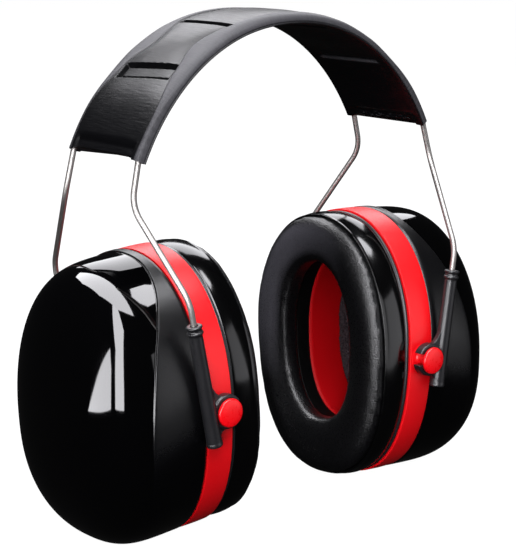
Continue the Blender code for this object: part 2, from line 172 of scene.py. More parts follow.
def grid_faces(rows, columns, wrap_rows):
    """Quads between neighbouring loops, and between the last and the first if they wrap."""
    faces = []
    for row in range(rows if wrap_rows else rows - 1):
        here, beyond = row * columns, (row + 1) % rows * columns
        for c in range(columns):
            after = (c + 1) % columns
            faces.append((here + c, here + after, beyond + after, beyond + c))
    return faces


def skin(name, rows, wrap_rows=False, start_tip=None, end_tip=None, caps=False):
    """Skin closed loops of points; tips close an end to one point, caps close both flat."""
    rows = np.asarray(rows, float)
    count, columns = rows.shape[:2]
    vertices = list(rows.reshape(-1, 3))
    faces = grid_faces(count, columns, wrap_rows)
    for tip, row in ((start_tip, 0), (end_tip, count - 1)):
        if tip is None:
            continue
        vertices.append(np.asarray(tip, float))
        last = len(vertices) - 1
        faces += [(row * columns + c, row * columns + (c + 1) % columns, last)
                  for c in range(columns)]
    if caps:
        faces.append(tuple(range(columns)))
        faces.append(tuple((count - 1) * columns + c for c in range(columns)))
    return mesh_object(name, vertices, faces)


def point_attribute(obj, name, values):
    attribute = obj.data.attributes.new(name, "FLOAT", "POINT")
    attribute.data.foreach_set("value", np.asarray(values, np.float32).ravel())


def uv_map(obj, name, places):
    """Lay a piece out flat, in metres, from one place for each of its vertices."""
    layer = obj.data.uv_layers.new(name=name)
    for loop in obj.data.loops:
        layer.data[loop.index].uv = places[loop.vertex_index]


def apply_modifiers(obj):
    graph = bpy.context.evaluated_depsgraph_get()
    mesh = bpy.data.meshes.new_from_object(obj.evaluated_get(graph))
    old = obj.data
    obj.modifiers.clear()
    obj.data = mesh
    bpy.data.meshes.remove(old)
    return obj


def add_voxels(obj, size):
    remesh = obj.modifiers.new("voxels", "REMESH")
    remesh.mode = "VOXEL"
    remesh.voxel_size = size


def add_relax(obj):
    relax = obj.modifiers.new("relax", "SMOOTH")
    relax.factor = 0.5
    relax.iterations = 4


def copy_object(obj, name):
    twin = obj.copy()
    twin.data = obj.data.copy()
    twin.name = twin.data.name = name
    bpy.context.scene.collection.objects.link(twin)
    return twin


def remove(obj):
    bpy.data.objects.remove(obj, do_unlink=True)


# ---- the oval

ANGLES = 2 * np.pi * np.arange(COLUMNS) / COLUMNS
FROM_TOP = np.degrees(np.abs(np.angle(np.exp(1j * (ANGLES - np.pi / 2)))))


def oval_reach(angles, inset=0.0, side=1.0, top=1.0, bottom=1.0):
    """Distance from the oval's middle, in each direction. Its two halves join smoothly."""
    across, up = np.cos(angles), np.sin(angles)
    upper = smoothstep(-0.3, 0.3, up)
    power = mix(OVAL_BOTTOM_POWER, OVAL_TOP_POWER, upper)
    half_width = (OVAL_HALF_WIDTH - inset) * side
    half_height = mix((OVAL_BOTTOM - inset) * bottom, (OVAL_TOP - inset) * top, upper)
    total = np.abs(across / half_width) ** power + np.abs(up / half_height) ** power
    return total ** (-1 / power)


def oval_loop(depth, inset=0.0, bottom=1.0):
    """One loop of the oval in the cup's frame."""
    reach = oval_reach(ANGLES, inset, bottom=bottom)
    return np.stack([np.full(COLUMNS, depth), reach * np.cos(ANGLES),
                     reach * np.sin(ANGLES) + OVAL_CENTRE], axis=1)


def bottom_scale(inset):
    """The ear opening is less deep below than the cup's own oval."""
    return mix(1.0, OPENING_BOTTOM, smoothstep(0.003, BASE_THROAT, inset))


def ring_rows(profile):
    """Loops for a closed (depth, inset) profile that goes once round the wall."""
    return [oval_loop(depth, inset, bottom_scale(inset)) for depth, inset in profile]


def rounded(points, radius):
    """Round the corners of a closed (depth, inset) outline with small bends."""
    result, share = [], 0.45       # a bend takes at most this share of each edge it joins
    points = np.array(points, float)
    for corner, before, after in zip(points, np.roll(points, 1, 0), np.roll(points, -1, 0)):
        before, after = before - corner, after - corner
        lengths = np.linalg.norm(before), np.linalg.norm(after)
        run = min(radius, *(share * length for length in lengths))
        result += bend(corner + before / lengths[0] * run, corner,
                       corner + after / lengths[1] * run, 5)
    return result


# ---- ear cup parts

def dome_point(reach, angles):
    """A point of the dome at each (reach, angle); reach 0 is at the ring and 1 at the far end."""
    drop = SHELL_DROP * reach
    side = np.maximum(1 - reach ** SIDE_POWER, 0) ** (1 / DOME_POWER)
    height = np.maximum(1 - reach ** HEIGHT_POWER, 0) ** (1 / DOME_POWER)
    top = height * (1 + TOP_KEEPS * drop / OVAL_TOP)
    bottom = height * (1 - BOTTOM_KEEPS * drop / OVAL_BOTTOM)
    radius = oval_reach(angles, 0.0, side, top, bottom)
    depth = SHELL_START + SHELL_LEAD + SHELL_DEPTH * reach
    return depth, radius, OVAL_CENTRE - drop


def make_outer_shell(name):
    """The dome, whose glossy field lies a little behind the matt cheeks beside the ring."""
    cheek_end = (smooth_curve(CHEEK_EDGE, FROM_TOP) - SHELL_START - SHELL_LEAD) / SHELL_DEPTH
    fade = 1 - smoothstep(*CHEEK_FADE, FROM_TOP)
    edge_run = CHEEK_WALL / SHELL_DEPTH
    rows, matt = [], []

    def add(reach, set_back, matt_share):
        depth, radius, middle = dome_point(reach, ANGLES)
        radius = radius - set_back
        rows.append(np.stack([depth, radius * np.cos(ANGLES), radius * np.sin(ANGLES) + middle], 1))
        matt.append(matt_share * fade)

    for depth, inset in SHELL_LIP:
        rows.append(oval_loop(SHELL_START + depth, inset))
        matt.append(fade)
    for share in np.linspace(0, 1, CHEEK_ROWS):
        add(np.maximum(cheek_end - edge_run, 0) * share, 0.0, 1.0)
    for share, fall in CHEEK_FALL:
        add(cheek_end - edge_run * (1 - share), CHEEK_STEP * fall * fade, 1.0 - share)
    start_angle = np.arcsin(cheek_end + edge_run)
    for share in np.linspace(0, 1, FIELD_ROWS, endpoint=False):
        set_back = CHEEK_STEP * fade * (1 - smoothstep(0.1, 0.6, share))
        add(np.sin(mix(start_angle, 0.5 * np.pi, share)), set_back, 0.0)
    tip = (SHELL_START + SHELL_LEAD + SHELL_DEPTH, 0.0, OVAL_CENTRE - SHELL_DROP)
    obj = skin(name, rows, end_tip=tip)
    point_attribute(obj, "matt", np.append(np.array(matt).ravel(), 0.0))
    wall = obj.modifiers.new("wall", "SOLIDIFY")
    wall.thickness = SHELL_WALL
    wall.offset = -1.0
    return apply_modifiers(obj)


def make_ring(name):
    """The red ring: a flat band with rounded edges, slightly crowned."""
    inner, outer, thick, rise = RING_INNER, RING_OUTER, 0.0035, 0.00012
    crown = [(mix(inner, outer, t), rise * (2 * t - 1) ** 2) for t in np.linspace(0, 1, 7)]
    outline = [(inner, thick), (outer, thick), (outer, 0.0003), *reversed(crown), (inner, 0.0004)]
    return skin(name, ring_rows(rounded(outline, 0.0005)), wrap_rows=True)


def make_base(name):
    """The black base: a bead beside the ring, a groove, a full skirt, and the throat."""
    seat, mouth, shelf, wall = -0.0122, -0.0055, -0.0102, 0.0018
    back = RING_INNER - 0.0003
    outline = [(back, 0.0040), (back, 0.0012), (back - 0.0003, 0.0008), (back - 0.0010, 0.0007),
               (back - 0.0013, 0.0010), (back - 0.0015, 0.0014), (back - 0.0018, 0.0012)]
    skirt_start, skirt_end = back - 0.0021, BASE_FACE + 0.0010
    for t in np.linspace(0, 1, 12):
        bulge = 0.0006 * (1 - (2 * t - 1) ** 2)
        outline.append((mix(skirt_start, skirt_end, t), mix(0.0010, 0.0012, t) - bulge))
    outline += [(BASE_FACE + 0.0001, 0.0012), (BASE_FACE, 0.0014), (BASE_FACE, 0.0024),
                (seat, 0.0026), (seat, BASE_THROAT), (mouth, BASE_THROAT),
                (mouth, BASE_THROAT - wall), (shelf, BASE_THROAT - wall), (shelf, 0.0042)]
    return skin(name, ring_rows(rounded(outline, 0.0004)), wrap_rows=True)


def make_inner_casing(name):
    """The red bowl behind the throat."""
    wall, floor_depth, flange_edge, taper = 0.0018, 0.0225, 0.0042, 0.0040
    mouth = -0.0052 + wall
    inset = BASE_THROAT - wall

    def bowl(floor, inset):
        return [oval_loop(mouth + (floor - mouth) * math.sin(0.5 * math.pi * t),
                          inset + taper * t ** 3, OPENING_BOTTOM)
                for t in np.linspace(0, 1, 20)]

    flange = [oval_loop(mouth - wall, inset + wall, OPENING_BOTTOM),
              oval_loop(mouth - wall, flange_edge), oval_loop(mouth, flange_edge)]
    inner, outer = bowl(floor_depth - wall, inset + wall), bowl(floor_depth, inset)
    return skin(name, [*reversed(inner), *flange, *outer], caps=True)


def make_foam(name):
    """Open-cell foam that lies in the bowl, its face uneven and its edge rounded."""
    face, thick, inset = 0.0080, 0.0100, BASE_THROAT + 0.0016
    round_start, round_fall, hole = 0.86, 0.0022, 0.02
    pit_depth, pits = 0.00045, 700             # pits and waves: features to the metre
    wave_depth, waves = 0.0005, 130
    middle = np.array([0.0, 0.0, OVAL_CENTRE])
    edge = oval_loop(0.0, inset, OPENING_BOTTOM)
    rows = []
    for share in reversed(np.append(np.linspace(0, round_start, 30), np.linspace(0.89, 1.0, 10))):
        loop = middle + (edge - middle) * max(share, hole)
        loop[:, 0] = face + round_fall * smoothstep(round_start, 1.0, share) ** 2
        for point in loop:
            place = Vector(point)
            point[0] += (pit_depth * noise.noise(place * pits)
                         + wave_depth * noise.noise(place * waves))
        rows.append(loop)
    side = [oval_loop(face + 0.0030, inset + 0.0003, OPENING_BOTTOM),
            oval_loop(face + thick, inset + 0.0040, OPENING_BOTTOM)]
    return skin(name, [*reversed(side), *rows], caps=True)


# ---- cushion

CUSHION_PIN_DEPTH = -0.0178        # points deeper than this are held while it swells
CUSHION_PRESSURE = 4.0
CUSHION_FRAMES = 20
CUSHION_MOVE = 0.0011              # the most that a point may swell
CUSHION_VOXEL = 0.0016


def cushion_profile():
    """(depth, inset) round the cushion's wall, a little slack so that it can swell."""
    lip, back, crown = BASE_FACE - 0.0002, -0.0138, CUSHION_FACE + 0.0006
    outer_round, slope_start, slope_fall, corner = 0.0085, 0.0096, 0.0021, 0.0016
    profile = [(back, 0.0034), (lip + 0.0004, 0.0031), (lip, 0.0020)]
    for sine, fall in quarter_turn(12):
        profile.append((lip - (lip - crown) * sine ** 0.85, CUSHION_INSET + outer_round * fall))
    for t in np.linspace(0.1, 1, 8):
        profile.append((crown + slope_fall * t * t,
                        mix(slope_start, CUSHION_THROAT - corner, t)))
    for sine, fall in quarter_turn(6, 0.15):
        profile.append((crown + slope_fall + corner * fall, CUSHION_THROAT - corner * (1 - sine)))
    profile.append((back, CUSHION_THROAT))
    return profile


def swell(obj):
    """Inflate the closed form with cloth, hold its back, and cap how far a point moves."""
    rest = np.array([v.co for v in obj.data.vertices])
    group = obj.vertex_groups.new(name="held")
    group.add(np.flatnonzero(rest[:, 0] > CUSHION_PIN_DEPTH).tolist(), 1.0, "REPLACE")
    cloth = obj.modifiers.new("cloth", "CLOTH").settings
    cloth.use_pressure = True
    cloth.uniform_pressure_force = CUSHION_PRESSURE
    cloth.effector_weights.gravity = 0.0
    cloth.quality = 5
    cloth.vertex_group_mass = group.name
    cloth.tension_stiffness = cloth.compression_stiffness = 40
    cloth.bending_stiffness = 2
    scene = bpy.context.scene
    for frame_number in range(1, CUSHION_FRAMES + 1):
        scene.frame_set(frame_number)
    graph = bpy.context.evaluated_depsgraph_get()
    moved = np.array([v.co for v in obj.evaluated_get(graph).data.vertices])
    shift = moved - rest
    length = np.linalg.norm(shift, axis=1, keepdims=True)
    shift *= np.minimum(1.0, CUSHION_MOVE / np.maximum(length, 1e-9))
    obj.modifiers.clear()
    scene.frame_set(1)
    obj.data.vertices.foreach_set("co", (rest + shift).ravel())
    obj.data.update()


def make_cushion(name):
    """The vinyl ring: a lofted form, swollen by cloth simulation and smoothed."""
    obj = skin(name, ring_rows(cushion_profile()), wrap_rows=True)
    add_voxels(obj, CUSHION_VOXEL)
    apply_modifiers(obj)
    swell(obj)
    add_relax(obj)
    fine = obj.modifiers.new("fine", "SUBSURF")
    fine.levels = fine.render_levels = 1
    apply_modifiers(obj)
    add_creases(obj)
    return shade_smooth(obj)


def add_creases(obj):
    """Soft dents of a vinyl skin over foam, mostly across the roll towards the opening."""
    broad_depth, broad_scale, elsewhere = 0.00022, 55, Vector((3.1, 0, 0))
    fine_depth, fine_scale = 0.00007, Vector((90, 190, 190))
    normals = [v.normal.copy() for v in obj.data.vertices]
    for vertex, normal in zip(obj.data.vertices, normals):
        co = vertex.co
        if co.x > CUSHION_PIN_DEPTH:
            continue
        broad = noise.noise(co * broad_scale + elsewhere)
        fine = noise.noise(co * fine_scale)
        vertex.co = co + normal * (broad_depth * broad + fine_depth * fine)


# ---- placing

def half_matrix(side):
    """The left half is the right half turned round."""
    return Matrix.Rotation(math.pi if SIDES[side] < 0 else 0.0, 4, "Z")


def cup_matrix(side):
    return (Matrix.Translation(PIVOTS[side]) @ half_matrix(side)
            @ Matrix.Rotation(CUP_TILT, 4, "Y"))


def settle(obj, side, twist=0.0):
    """Turn a cup piece about X as it has settled between its arms, its inner end a little more."""
    for vertex in obj.data.vertices:
        share = float(smoothstep(RING_INNER, BASE_FACE, vertex.co.x))
        turn = (CUP_ROLL[side] + twist * share) * SIDES[side]
        c, s = math.cos(turn), math.sin(turn)
        y, z = vertex.co.y, vertex.co.z
        vertex.co.y, vertex.co.z = y * c + z * s, z * c - y * s
    return obj


def paint_with(obj, material):
    obj.data.materials.clear()
    obj.data.materials.append(material)


def place(obj, matrix, body, slot_name, material, *nodes):
    """Bake the place into the mesh, paint it, and let it ride its body in place of CAD nodes."""
    obj.data.transform(matrix)
    paint_with(obj, material)
    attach(obj, body)
    if nodes:
        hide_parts(*nodes)
    return obj


# ---- studs and arms

STUD_RADIUS = 0.0030
BUTTON_RADIUS = 0.00525
BUTTON_BACK, BUTTON_FACE = 0.0446, 0.0462
ARM_TILT = math.radians(10.1)
ARM_PLANE = 0.0423
ARM_OFFSET = 0.0070
ARM_TOP, ARM_BOTTOM = 0.0354, -0.0108
ARM_RIB = 0.0011
ARM_VOXEL = 0.0002
CLIP_RADIUS = 0.0064
CLIP_HALF = 0.0019


def turned(name, profile, count=56):
    """Turn a (radius, height) profile round Z and close both ends."""
    around = 2 * np.pi * np.arange(count) / count
    loops = [np.stack([radius * np.cos(around), radius * np.sin(around),
                       np.full(count, height)], axis=1) for radius, height in profile]
    return skin(name, loops, start_tip=(0, 0, profile[0][1]), end_tip=(0, 0, profile[-1][1]))


def make_stud(name):
    """Boss, neck and flat-domed button, standing along +Z."""
    boss, boss_back, boss_face = 0.0052, 0.0368, 0.0389
    edge, crown_radius, crown_rise = 0.0007, 0.0045, 0.00025
    profile = [(boss, boss_back), (boss, boss_face)]
    for sine, fall in quarter_turn(8):
        profile.append((STUD_RADIUS + (boss - STUD_RADIUS) * (1 - sine), boss_face + 0.0013 * fall))
    profile += [(STUD_RADIUS, BUTTON_BACK), (BUTTON_RADIUS - 0.0003, BUTTON_BACK),
                (BUTTON_RADIUS, BUTTON_BACK + 0.0002)]
    for sine, fall in quarter_turn(7):
        profile.append((BUTTON_RADIUS - edge * fall, BUTTON_FACE - edge * (1 - sine) - 0.0001))
    profile += [(radius, BUTTON_FACE + crown_rise * (1 - (radius / crown_radius) ** 2))
                for radius in (0.0040, 0.0028, 0.0012)]
    return turned(name, profile)


def combine(base, *steps):
    """Join or cut a mesh object with others, which go away."""
    for operation, tool in steps:
        modifier = base.modifiers.new("combine", "BOOLEAN")
        modifier.operation = operation
        modifier.object = tool
    apply_modifiers(base)
    for _, tool in steps:
        remove(tool)
    return base


def slab(name, outline, half_thick):
    """A flat plate across Y from an (x, z) outline."""
    return skin(name, [[(x, y, z) for x, z in outline] for y in (-half_thick, half_thick)],
                caps=True)


def along_y(obj):
    obj.data.transform(Matrix.Rotation(math.pi / 2, 4, "X"))
    return obj


def make_arm(name):
    """Tube, collar, web and open clip as one moulding; the stud's axis is Y, the tube's Z."""
    radius, groove, bevel = 0.0030, 0.0026, 0.0004
    bore_radius, mouth_half, hole_radius, clear = 0.0033, 0.0023, 0.0014, 0.01
    rib, top, foot = ARM_RIB, ARM_TOP, ARM_BOTTOM
    aside = Matrix.Translation((ARM_OFFSET, 0, 0))
    profile = [(groove, top), (radius, top - 0.0003), (radius, top - rib + 0.0002),
               (groove, top - rib), (0.00255, top - 1.5 * rib), (groove, top - 2 * rib),
               (radius, top - 2 * rib - 0.0002), (radius, top - 3 * rib + 0.0002),
               (groove, top - 3 * rib - 0.0001), (0.0025, top - 3.6 * rib),
               (0.00285, foot + 0.0016), (radius, foot + 0.0011), (radius, foot + 0.0002),
               (0.0028, foot)]
    tube = turned("tube", profile, 48)
    tube.data.transform(aside)
    clip = along_y(turned("clip", [
        (CLIP_RADIUS - bevel, -CLIP_HALF), (CLIP_RADIUS, -CLIP_HALF + bevel),
        (CLIP_RADIUS, CLIP_HALF - bevel), (CLIP_RADIUS - bevel, CLIP_HALF)], 64))
    upper = bend(*np.array([(0.0, 0.0060), (0.0042, 0.0072), (0.0052, 0.0150)]), 8)
    lower = bend(*np.array([(0.0050, -0.0094), (0.0046, -0.0066), (0.0016, -0.0059)]), 8)
    web = slab("web", [*upper, (ARM_OFFSET, 0.0150), (ARM_OFFSET, -0.0094), *lower], 0.0010)
    bore = along_y(turned("bore", [(bore_radius, -clear), (bore_radius, clear)], 48))
    mouth = slab("mouth", [(-2 * clear, -mouth_half), (0.0, -mouth_half), (0.0, mouth_half),
                           (-2 * clear, mouth_half)], clear)
    wire_hole = turned("wire_hole", [(hole_radius, top - 0.006), (hole_radius, 2 * top)], 32)
    wire_hole.data.transform(aside)
    combine(tube, ("UNION", clip), ("UNION", web), ("DIFFERENCE", bore), ("DIFFERENCE", mouth),
            ("DIFFERENCE", wire_hole))
    tube.name = name
    add_voxels(tube, ARM_VOXEL)
    add_relax(tube)
    return shade_smooth(apply_modifiers(tube))


def arm_matrix(side, across):
    pivot = PIVOTS[side] + Vector((0, across * ARM_PLANE, 0))
    return Matrix.Translation(pivot) @ half_matrix(side) @ Matrix.Rotation(ARM_TILT, 4, "Y")


# ---- arch, wires and headband

WIRE_RADIUS = 0.0011
WIRE_Y = 0.0200
WIRE_TAIL = -0.0025
LOWER_BEND = 0.0441
UPPER_BEND = Vector((0.0730, 0.0206, PIVOT_Z + 0.0739))
BEND_RUN = 0.0045
ARCH_HALF_WIDTH = 0.0804
ARCH_RISE = 0.0980
ARCH_BASE_Z = PIVOT_Z + 0.0363
ARCH_POWER = 2.11
BAND_END_Z = PIVOT_Z + 0.0890
BAND_EDGE = 0.0219


def arch_tables():
    """Fine table of arc length from the crown, line and outward normal of the right half."""
    end = math.asin(((BAND_END_Z - ARCH_BASE_Z) / ARCH_RISE) ** (ARCH_POWER / 2))
    angle = np.linspace(0.5 * np.pi, end - 0.02, 4000)
    x = ARCH_HALF_WIDTH * np.maximum(np.cos(angle), 0) ** (2 / ARCH_POWER)
    z = ARCH_RISE * np.sin(angle) ** (2 / ARCH_POWER)
    nx = (x / ARCH_HALF_WIDTH) ** (ARCH_POWER - 1) / ARCH_HALF_WIDTH
    nz = (z / ARCH_RISE) ** (ARCH_POWER - 1) / ARCH_RISE
    size = np.hypot(nx, nz)
    run = np.append(0, np.cumsum(np.hypot(np.diff(x), np.diff(z))))
    length = np.interp(-end, -angle, run)
    return run, x, z + ARCH_BASE_Z, nx / size, nz / size, length


ARCH_RUN, ARCH_X, ARCH_Z, ARCH_NX, ARCH_NZ, BAND_LENGTH = arch_tables()


def arch_normal(run):
    return np.interp(run, ARCH_RUN, ARCH_NX), np.interp(run, ARCH_RUN, ARCH_NZ)


def on_arch(run, across, out):
    """Points at arc length run from the crown, moved sideways and outward (right half)."""
    x, z = np.interp(run, ARCH_RUN, ARCH_X), np.interp(run, ARCH_RUN, ARCH_Z)
    nx, nz = arch_normal(run)
    return np.stack([x + nx * out, np.broadcast_to(across, np.shape(x)), z + nz * out], axis=-1)


def run_at(x):
    """Arc length from the crown to the place that is x from the middle plane."""
    return float(np.interp(x, ARCH_X, ARCH_RUN))


def fillet(before, corner, after, run):
    return bend(corner + (before - corner).normalized() * run, corner,
                corner + (after - corner).normalized() * run, 14)


def wire_route():
    """Half of a wire from its tail in the right arm to the crown, on the +Y side."""
    turn = Matrix.Rotation(ARM_TILT, 3, "Y")
    foot = PIVOTS["right"] + Vector((0, ARM_PLANE, 0))
    tail = turn @ Vector((ARM_OFFSET, 0, WIRE_TAIL)) + foot
    lower = turn @ Vector((ARM_OFFSET, 0, LOWER_BEND)) + foot
    arch = [Vector(p) for p in on_arch(np.linspace(BAND_LENGTH, 0, 90), WIRE_Y, 0.0)]
    route = [tail, tail.lerp(lower, 0.4), tail.lerp(lower, 0.7)]
    route += fillet(tail, lower, UPPER_BEND, BEND_RUN)
    route += [lower.lerp(UPPER_BEND, t) for t in (0.3, 0.5, 0.7)]
    route += fillet(lower, UPPER_BEND, arch[0], BEND_RUN * 1.3)
    return route + [UPPER_BEND.lerp(arch[0], t) for t in (0.6, 0.8)] + arch


def make_wire(name, sides=20):
    """A round wire swept along its route, with the length along it kept in the UV map."""
    route = wire_route()
    tangents = [(route[min(i + 1, len(route) - 1)] - route[max(i - 1, 0)]).normalized()
                for i in range(len(route))]
    normal = tangents[0].orthogonal().normalized()
    loops, flat, run = [], [], 0.0
    for i, (point, tangent) in enumerate(zip(route, tangents)):
        if i:
            run += (point - route[i - 1]).length
        normal = (normal - tangent * normal.dot(tangent)).normalized()
        binormal = tangent.cross(normal)
        loops.append([point + (normal * math.cos(a) + binormal * math.sin(a)) * WIRE_RADIUS
                      for a in np.arange(sides) * 2 * math.pi / sides])
        flat += [(run, 2 * WIRE_RADIUS * abs(2 * c / sides - 1)) for c in range(sides)]
    obj = skin(name, loops, start_tip=route[0], end_tip=route[-1])
    uv_map(obj, "along", [*flat, flat[0], flat[-1]])
    return obj


# Headband section: the valley beside the wire's channel, at (run from the crown, distance across)
SLOT_RUNS = (run_at(0.0222), run_at(0.0488))
SLOT_HALF = (0.0010, 0.0034)
SLOT_SKEW = (0.0, -0.07)           # how the slots slant, as run over distance across
VALLEY = ((0.0, 0.0150), (0.014, 0.0156), (SLOT_RUNS[0], 0.0150), (0.030, 0.0122),
          (0.040, 0.0112), (SLOT_RUNS[1] - 0.004, 0.0146), (SLOT_RUNS[1] + 0.003, 0.0160),
          (0.064, 0.0185), (0.090, 0.0192), (BAND_LENGTH, 0.0192))
SLOT_PULL = 0.010                  # how far from a slot the vinyl is drawn flat
WELD_HALF = 0.0010
SLOT_DEEP = 0.0024
SLOT_FLOOR = (0.0, 0.5)            # how much of that depth the slots' floors rise again
BAND_RIDGE = 0.0020                # highest place over the wire, from the wire's axis
STRIP_CREST = 0.14                 # where the strip beside the panel is highest
LINING_BULGE = 0.0014
BAND_INNER = -0.0021
HEM_LENGTH = 0.0038
HEM_PULL = 0.0014                  # how far the end's middle is drawn back


def slot_depth(run, across):
    """How deep the welded cross slots go, from 0 to 1: a moat round a floor that rises a little."""
    depth = np.zeros(np.broadcast(run, across).shape)
    for centre, half, skew, rise in zip(SLOT_RUNS, SLOT_HALF, SLOT_SKEW, SLOT_FLOOR):
        reach = smooth_curve(VALLEY, centre) - 0.0004
        along = half - np.abs(run - centre - skew * np.asarray(across))
        ends = reach - np.abs(across)
        wall = smoothstep(-0.0004, 0.0004, along) * smoothstep(-0.0002, 0.0008, ends)
        floor = smoothstep(0.0007, 0.0014, along) * smoothstep(0.0010, 0.0020, ends)
        depth = np.maximum(depth, wall - rise * floor)
    return depth


def band_section(run):
    """One closed loop of the headband's section: (across, out) from panel to strip to lining."""
    valley, low = smooth_curve(VALLEY, run), -0.0010
    dip = 0.00035 * (1 - smoothstep(SLOT_RUNS[1], SLOT_RUNS[1] + 0.012, run)) + 0.00012
    pinch = 1 - smoothstep(HEM_LENGTH - 0.0008, HEM_LENGTH + 0.0035, BAND_LENGTH - run)
    near_slot = max(bell(run - centre, SLOT_PULL) for centre in SLOT_RUNS)
    weld = sum(bell(run - centre, WELD_HALF) for centre in SLOT_RUNS)

    pillow = 0.0005 + 0.0004 * (1 - near_slot)
    panel_across = valley * np.sin(np.linspace(-0.5 * np.pi, 0.5 * np.pi, 65))
    inside_channels = 1 - smoothstep(valley - 0.0028, valley - 0.0010, np.abs(panel_across))
    panel_out = (BAND_RIDGE - dip + pillow * (1 - np.abs(panel_across / valley) ** 3.5)
                 - SLOT_DEEP * slot_depth(run, panel_across) - 0.0012 * pinch * inside_channels)

    share = np.linspace(0, 1, 21)[1:]
    fullness = mix(2.4, 4.4, smoothstep(0.0060, 0.0100, BAND_EDGE - valley))
    rise = np.clip(share / STRIP_CREST, 0, 1)
    fall = np.sin(0.5 * np.pi * np.clip((share - STRIP_CREST) / (1 - STRIP_CREST), 0, 1))
    strip_out = np.where(share < STRIP_CREST, BAND_RIDGE - dip * (1 - rise) ** 2,
                         low + (BAND_RIDGE - low) * np.sqrt(np.maximum(1 - fall ** fullness, 0)))
    strip_across = valley + (BAND_EDGE - valley) * (STRIP_CREST * rise + (1 - STRIP_CREST) * fall)
    bead = [(BAND_EDGE - 0.0003, low - 0.0003), (BAND_EDGE + 0.0001, low - 0.0005),
            (BAND_EDGE + 0.0002, low - 0.0009), (BAND_EDGE - 0.0004, low - 0.0011)]

    lining_across = np.linspace(BAND_EDGE - 0.0010, 0, 18)
    bulge = LINING_BULGE * (1 - near_slot) * (1 - (lining_across / BAND_EDGE) ** 2)
    lining_out = (BAND_INNER - bulge * (1 - pinch)
                  + 0.0010 * weld * smoothstep(0.0165, 0.0155, lining_across)
                  + 0.0007 * pinch * smoothstep(0.019, 0.017, lining_across))
    right = [*zip(strip_across, strip_out), *bead, *zip(lining_across, lining_out)]
    left = [(-across, out) for across, out in reversed(right[:-1])]
    return [*zip(panel_across, panel_out), *right, *left]


def band_runs():
    """Places along half of the band, closer together at the slots' walls and the hem."""
    runs = list(np.linspace(0, BAND_LENGTH, 190))
    for centre, half in zip(SLOT_RUNS, SLOT_HALF):
        runs += list(np.linspace(centre - half - 0.0018, centre + half + 0.0018, 44))
    runs += list(np.linspace(BAND_LENGTH - 0.006, BAND_LENGTH, 26))
    runs, closest = sorted(runs), 0.00012
    kept = [runs[0]]
    for run in runs[1:]:
        if run - kept[-1] > closest:
            kept.append(run)
    return kept


def make_band(name):
    """The right half of the headband, from the crown to its end."""
    ripple_depth, ripples = 0.00004, (240, 60, 200)
    rows, flat, edge = [], [], []
    for run in band_runs():
        across, out = np.array(band_section(run)).T
        aside, valley = np.abs(across), smooth_curve(VALLEY, run)
        # the strips over the wires, greyed in the material partly for wear and partly as painted
        # light
        rubbed_and_painted_light = (smoothstep(valley - 0.0003, valley + 0.0012, aside)
                  * smoothstep(BAND_INNER + 0.0004, BAND_INNER + 0.0012, out))
        # a painted highlight line along the lining beside the weld
        weld = bell(run - SLOT_RUNS[1] - 0.0012, 0.0005) * (out < -0.0011) * (aside < 0.0165)
        edge.append(np.maximum(rubbed_and_painted_light, weld))
        girth = np.append(0, np.cumsum(np.hypot(np.diff(across), np.diff(out))))
        flat += [(run, place) for place in girth]
        pulled = run - HEM_PULL * (smoothstep(0.0185, 0.0165, aside)
                                   * smoothstep(0.006, 0.0, BAND_LENGTH - run))
        places = np.stack([pulled, across, out], 1) * ripples
        wave = np.array([noise.noise(Vector(p)) for p in places])
        depth = ripple_depth * smoothstep(SLOT_RUNS[1] + 0.004, SLOT_RUNS[1] + 0.016, run)
        nx, nz = arch_normal(run)
        rows.append(on_arch(pulled, across, out) + (wave * depth)[:, None] * (nx, 0, nz))
    obj = skin(name, rows, caps=True)
    point_attribute(obj, "edge", np.array(edge))
    uv_map(obj, "flat", flat)
    return shade_smooth(obj, 50)


def make_hem(name):
    """The folded end between the two wires, with its pleats."""
    half_width, half_thick, middle_out = 0.0172, 0.0008, -0.0003
    fullness, pleat_depth = 0.00045, 0.0009
    line = np.linspace(-half_width, half_width, 60)
    edge = 0.35 + 0.65 * (1 - np.abs(line / half_width) ** 6)
    across = np.append(line, line[::-1])
    rows = []
    for share in np.linspace(0, 1, 16):
        full = half_thick + fullness * math.sin(math.pi * min(share * 1.05, 1)) ** 0.6
        pleats = [noise.noise(Vector((a * 300 + 7 * share, share * 2.6, 0.3))) for a in line]
        thick = (full + pleat_depth * np.array(pleats)) * edge
        pulled = HEM_PULL * smoothstep(0.0185, 0.0140, np.abs(across)) * share
        run = BAND_LENGTH - HEM_LENGTH * (1 - share) - pulled
        rows.append(on_arch(run, across, middle_out + np.append(thick, -thick[::-1])))
    return shade_smooth(skin(name, rows, caps=True), 60)


# ---- materials

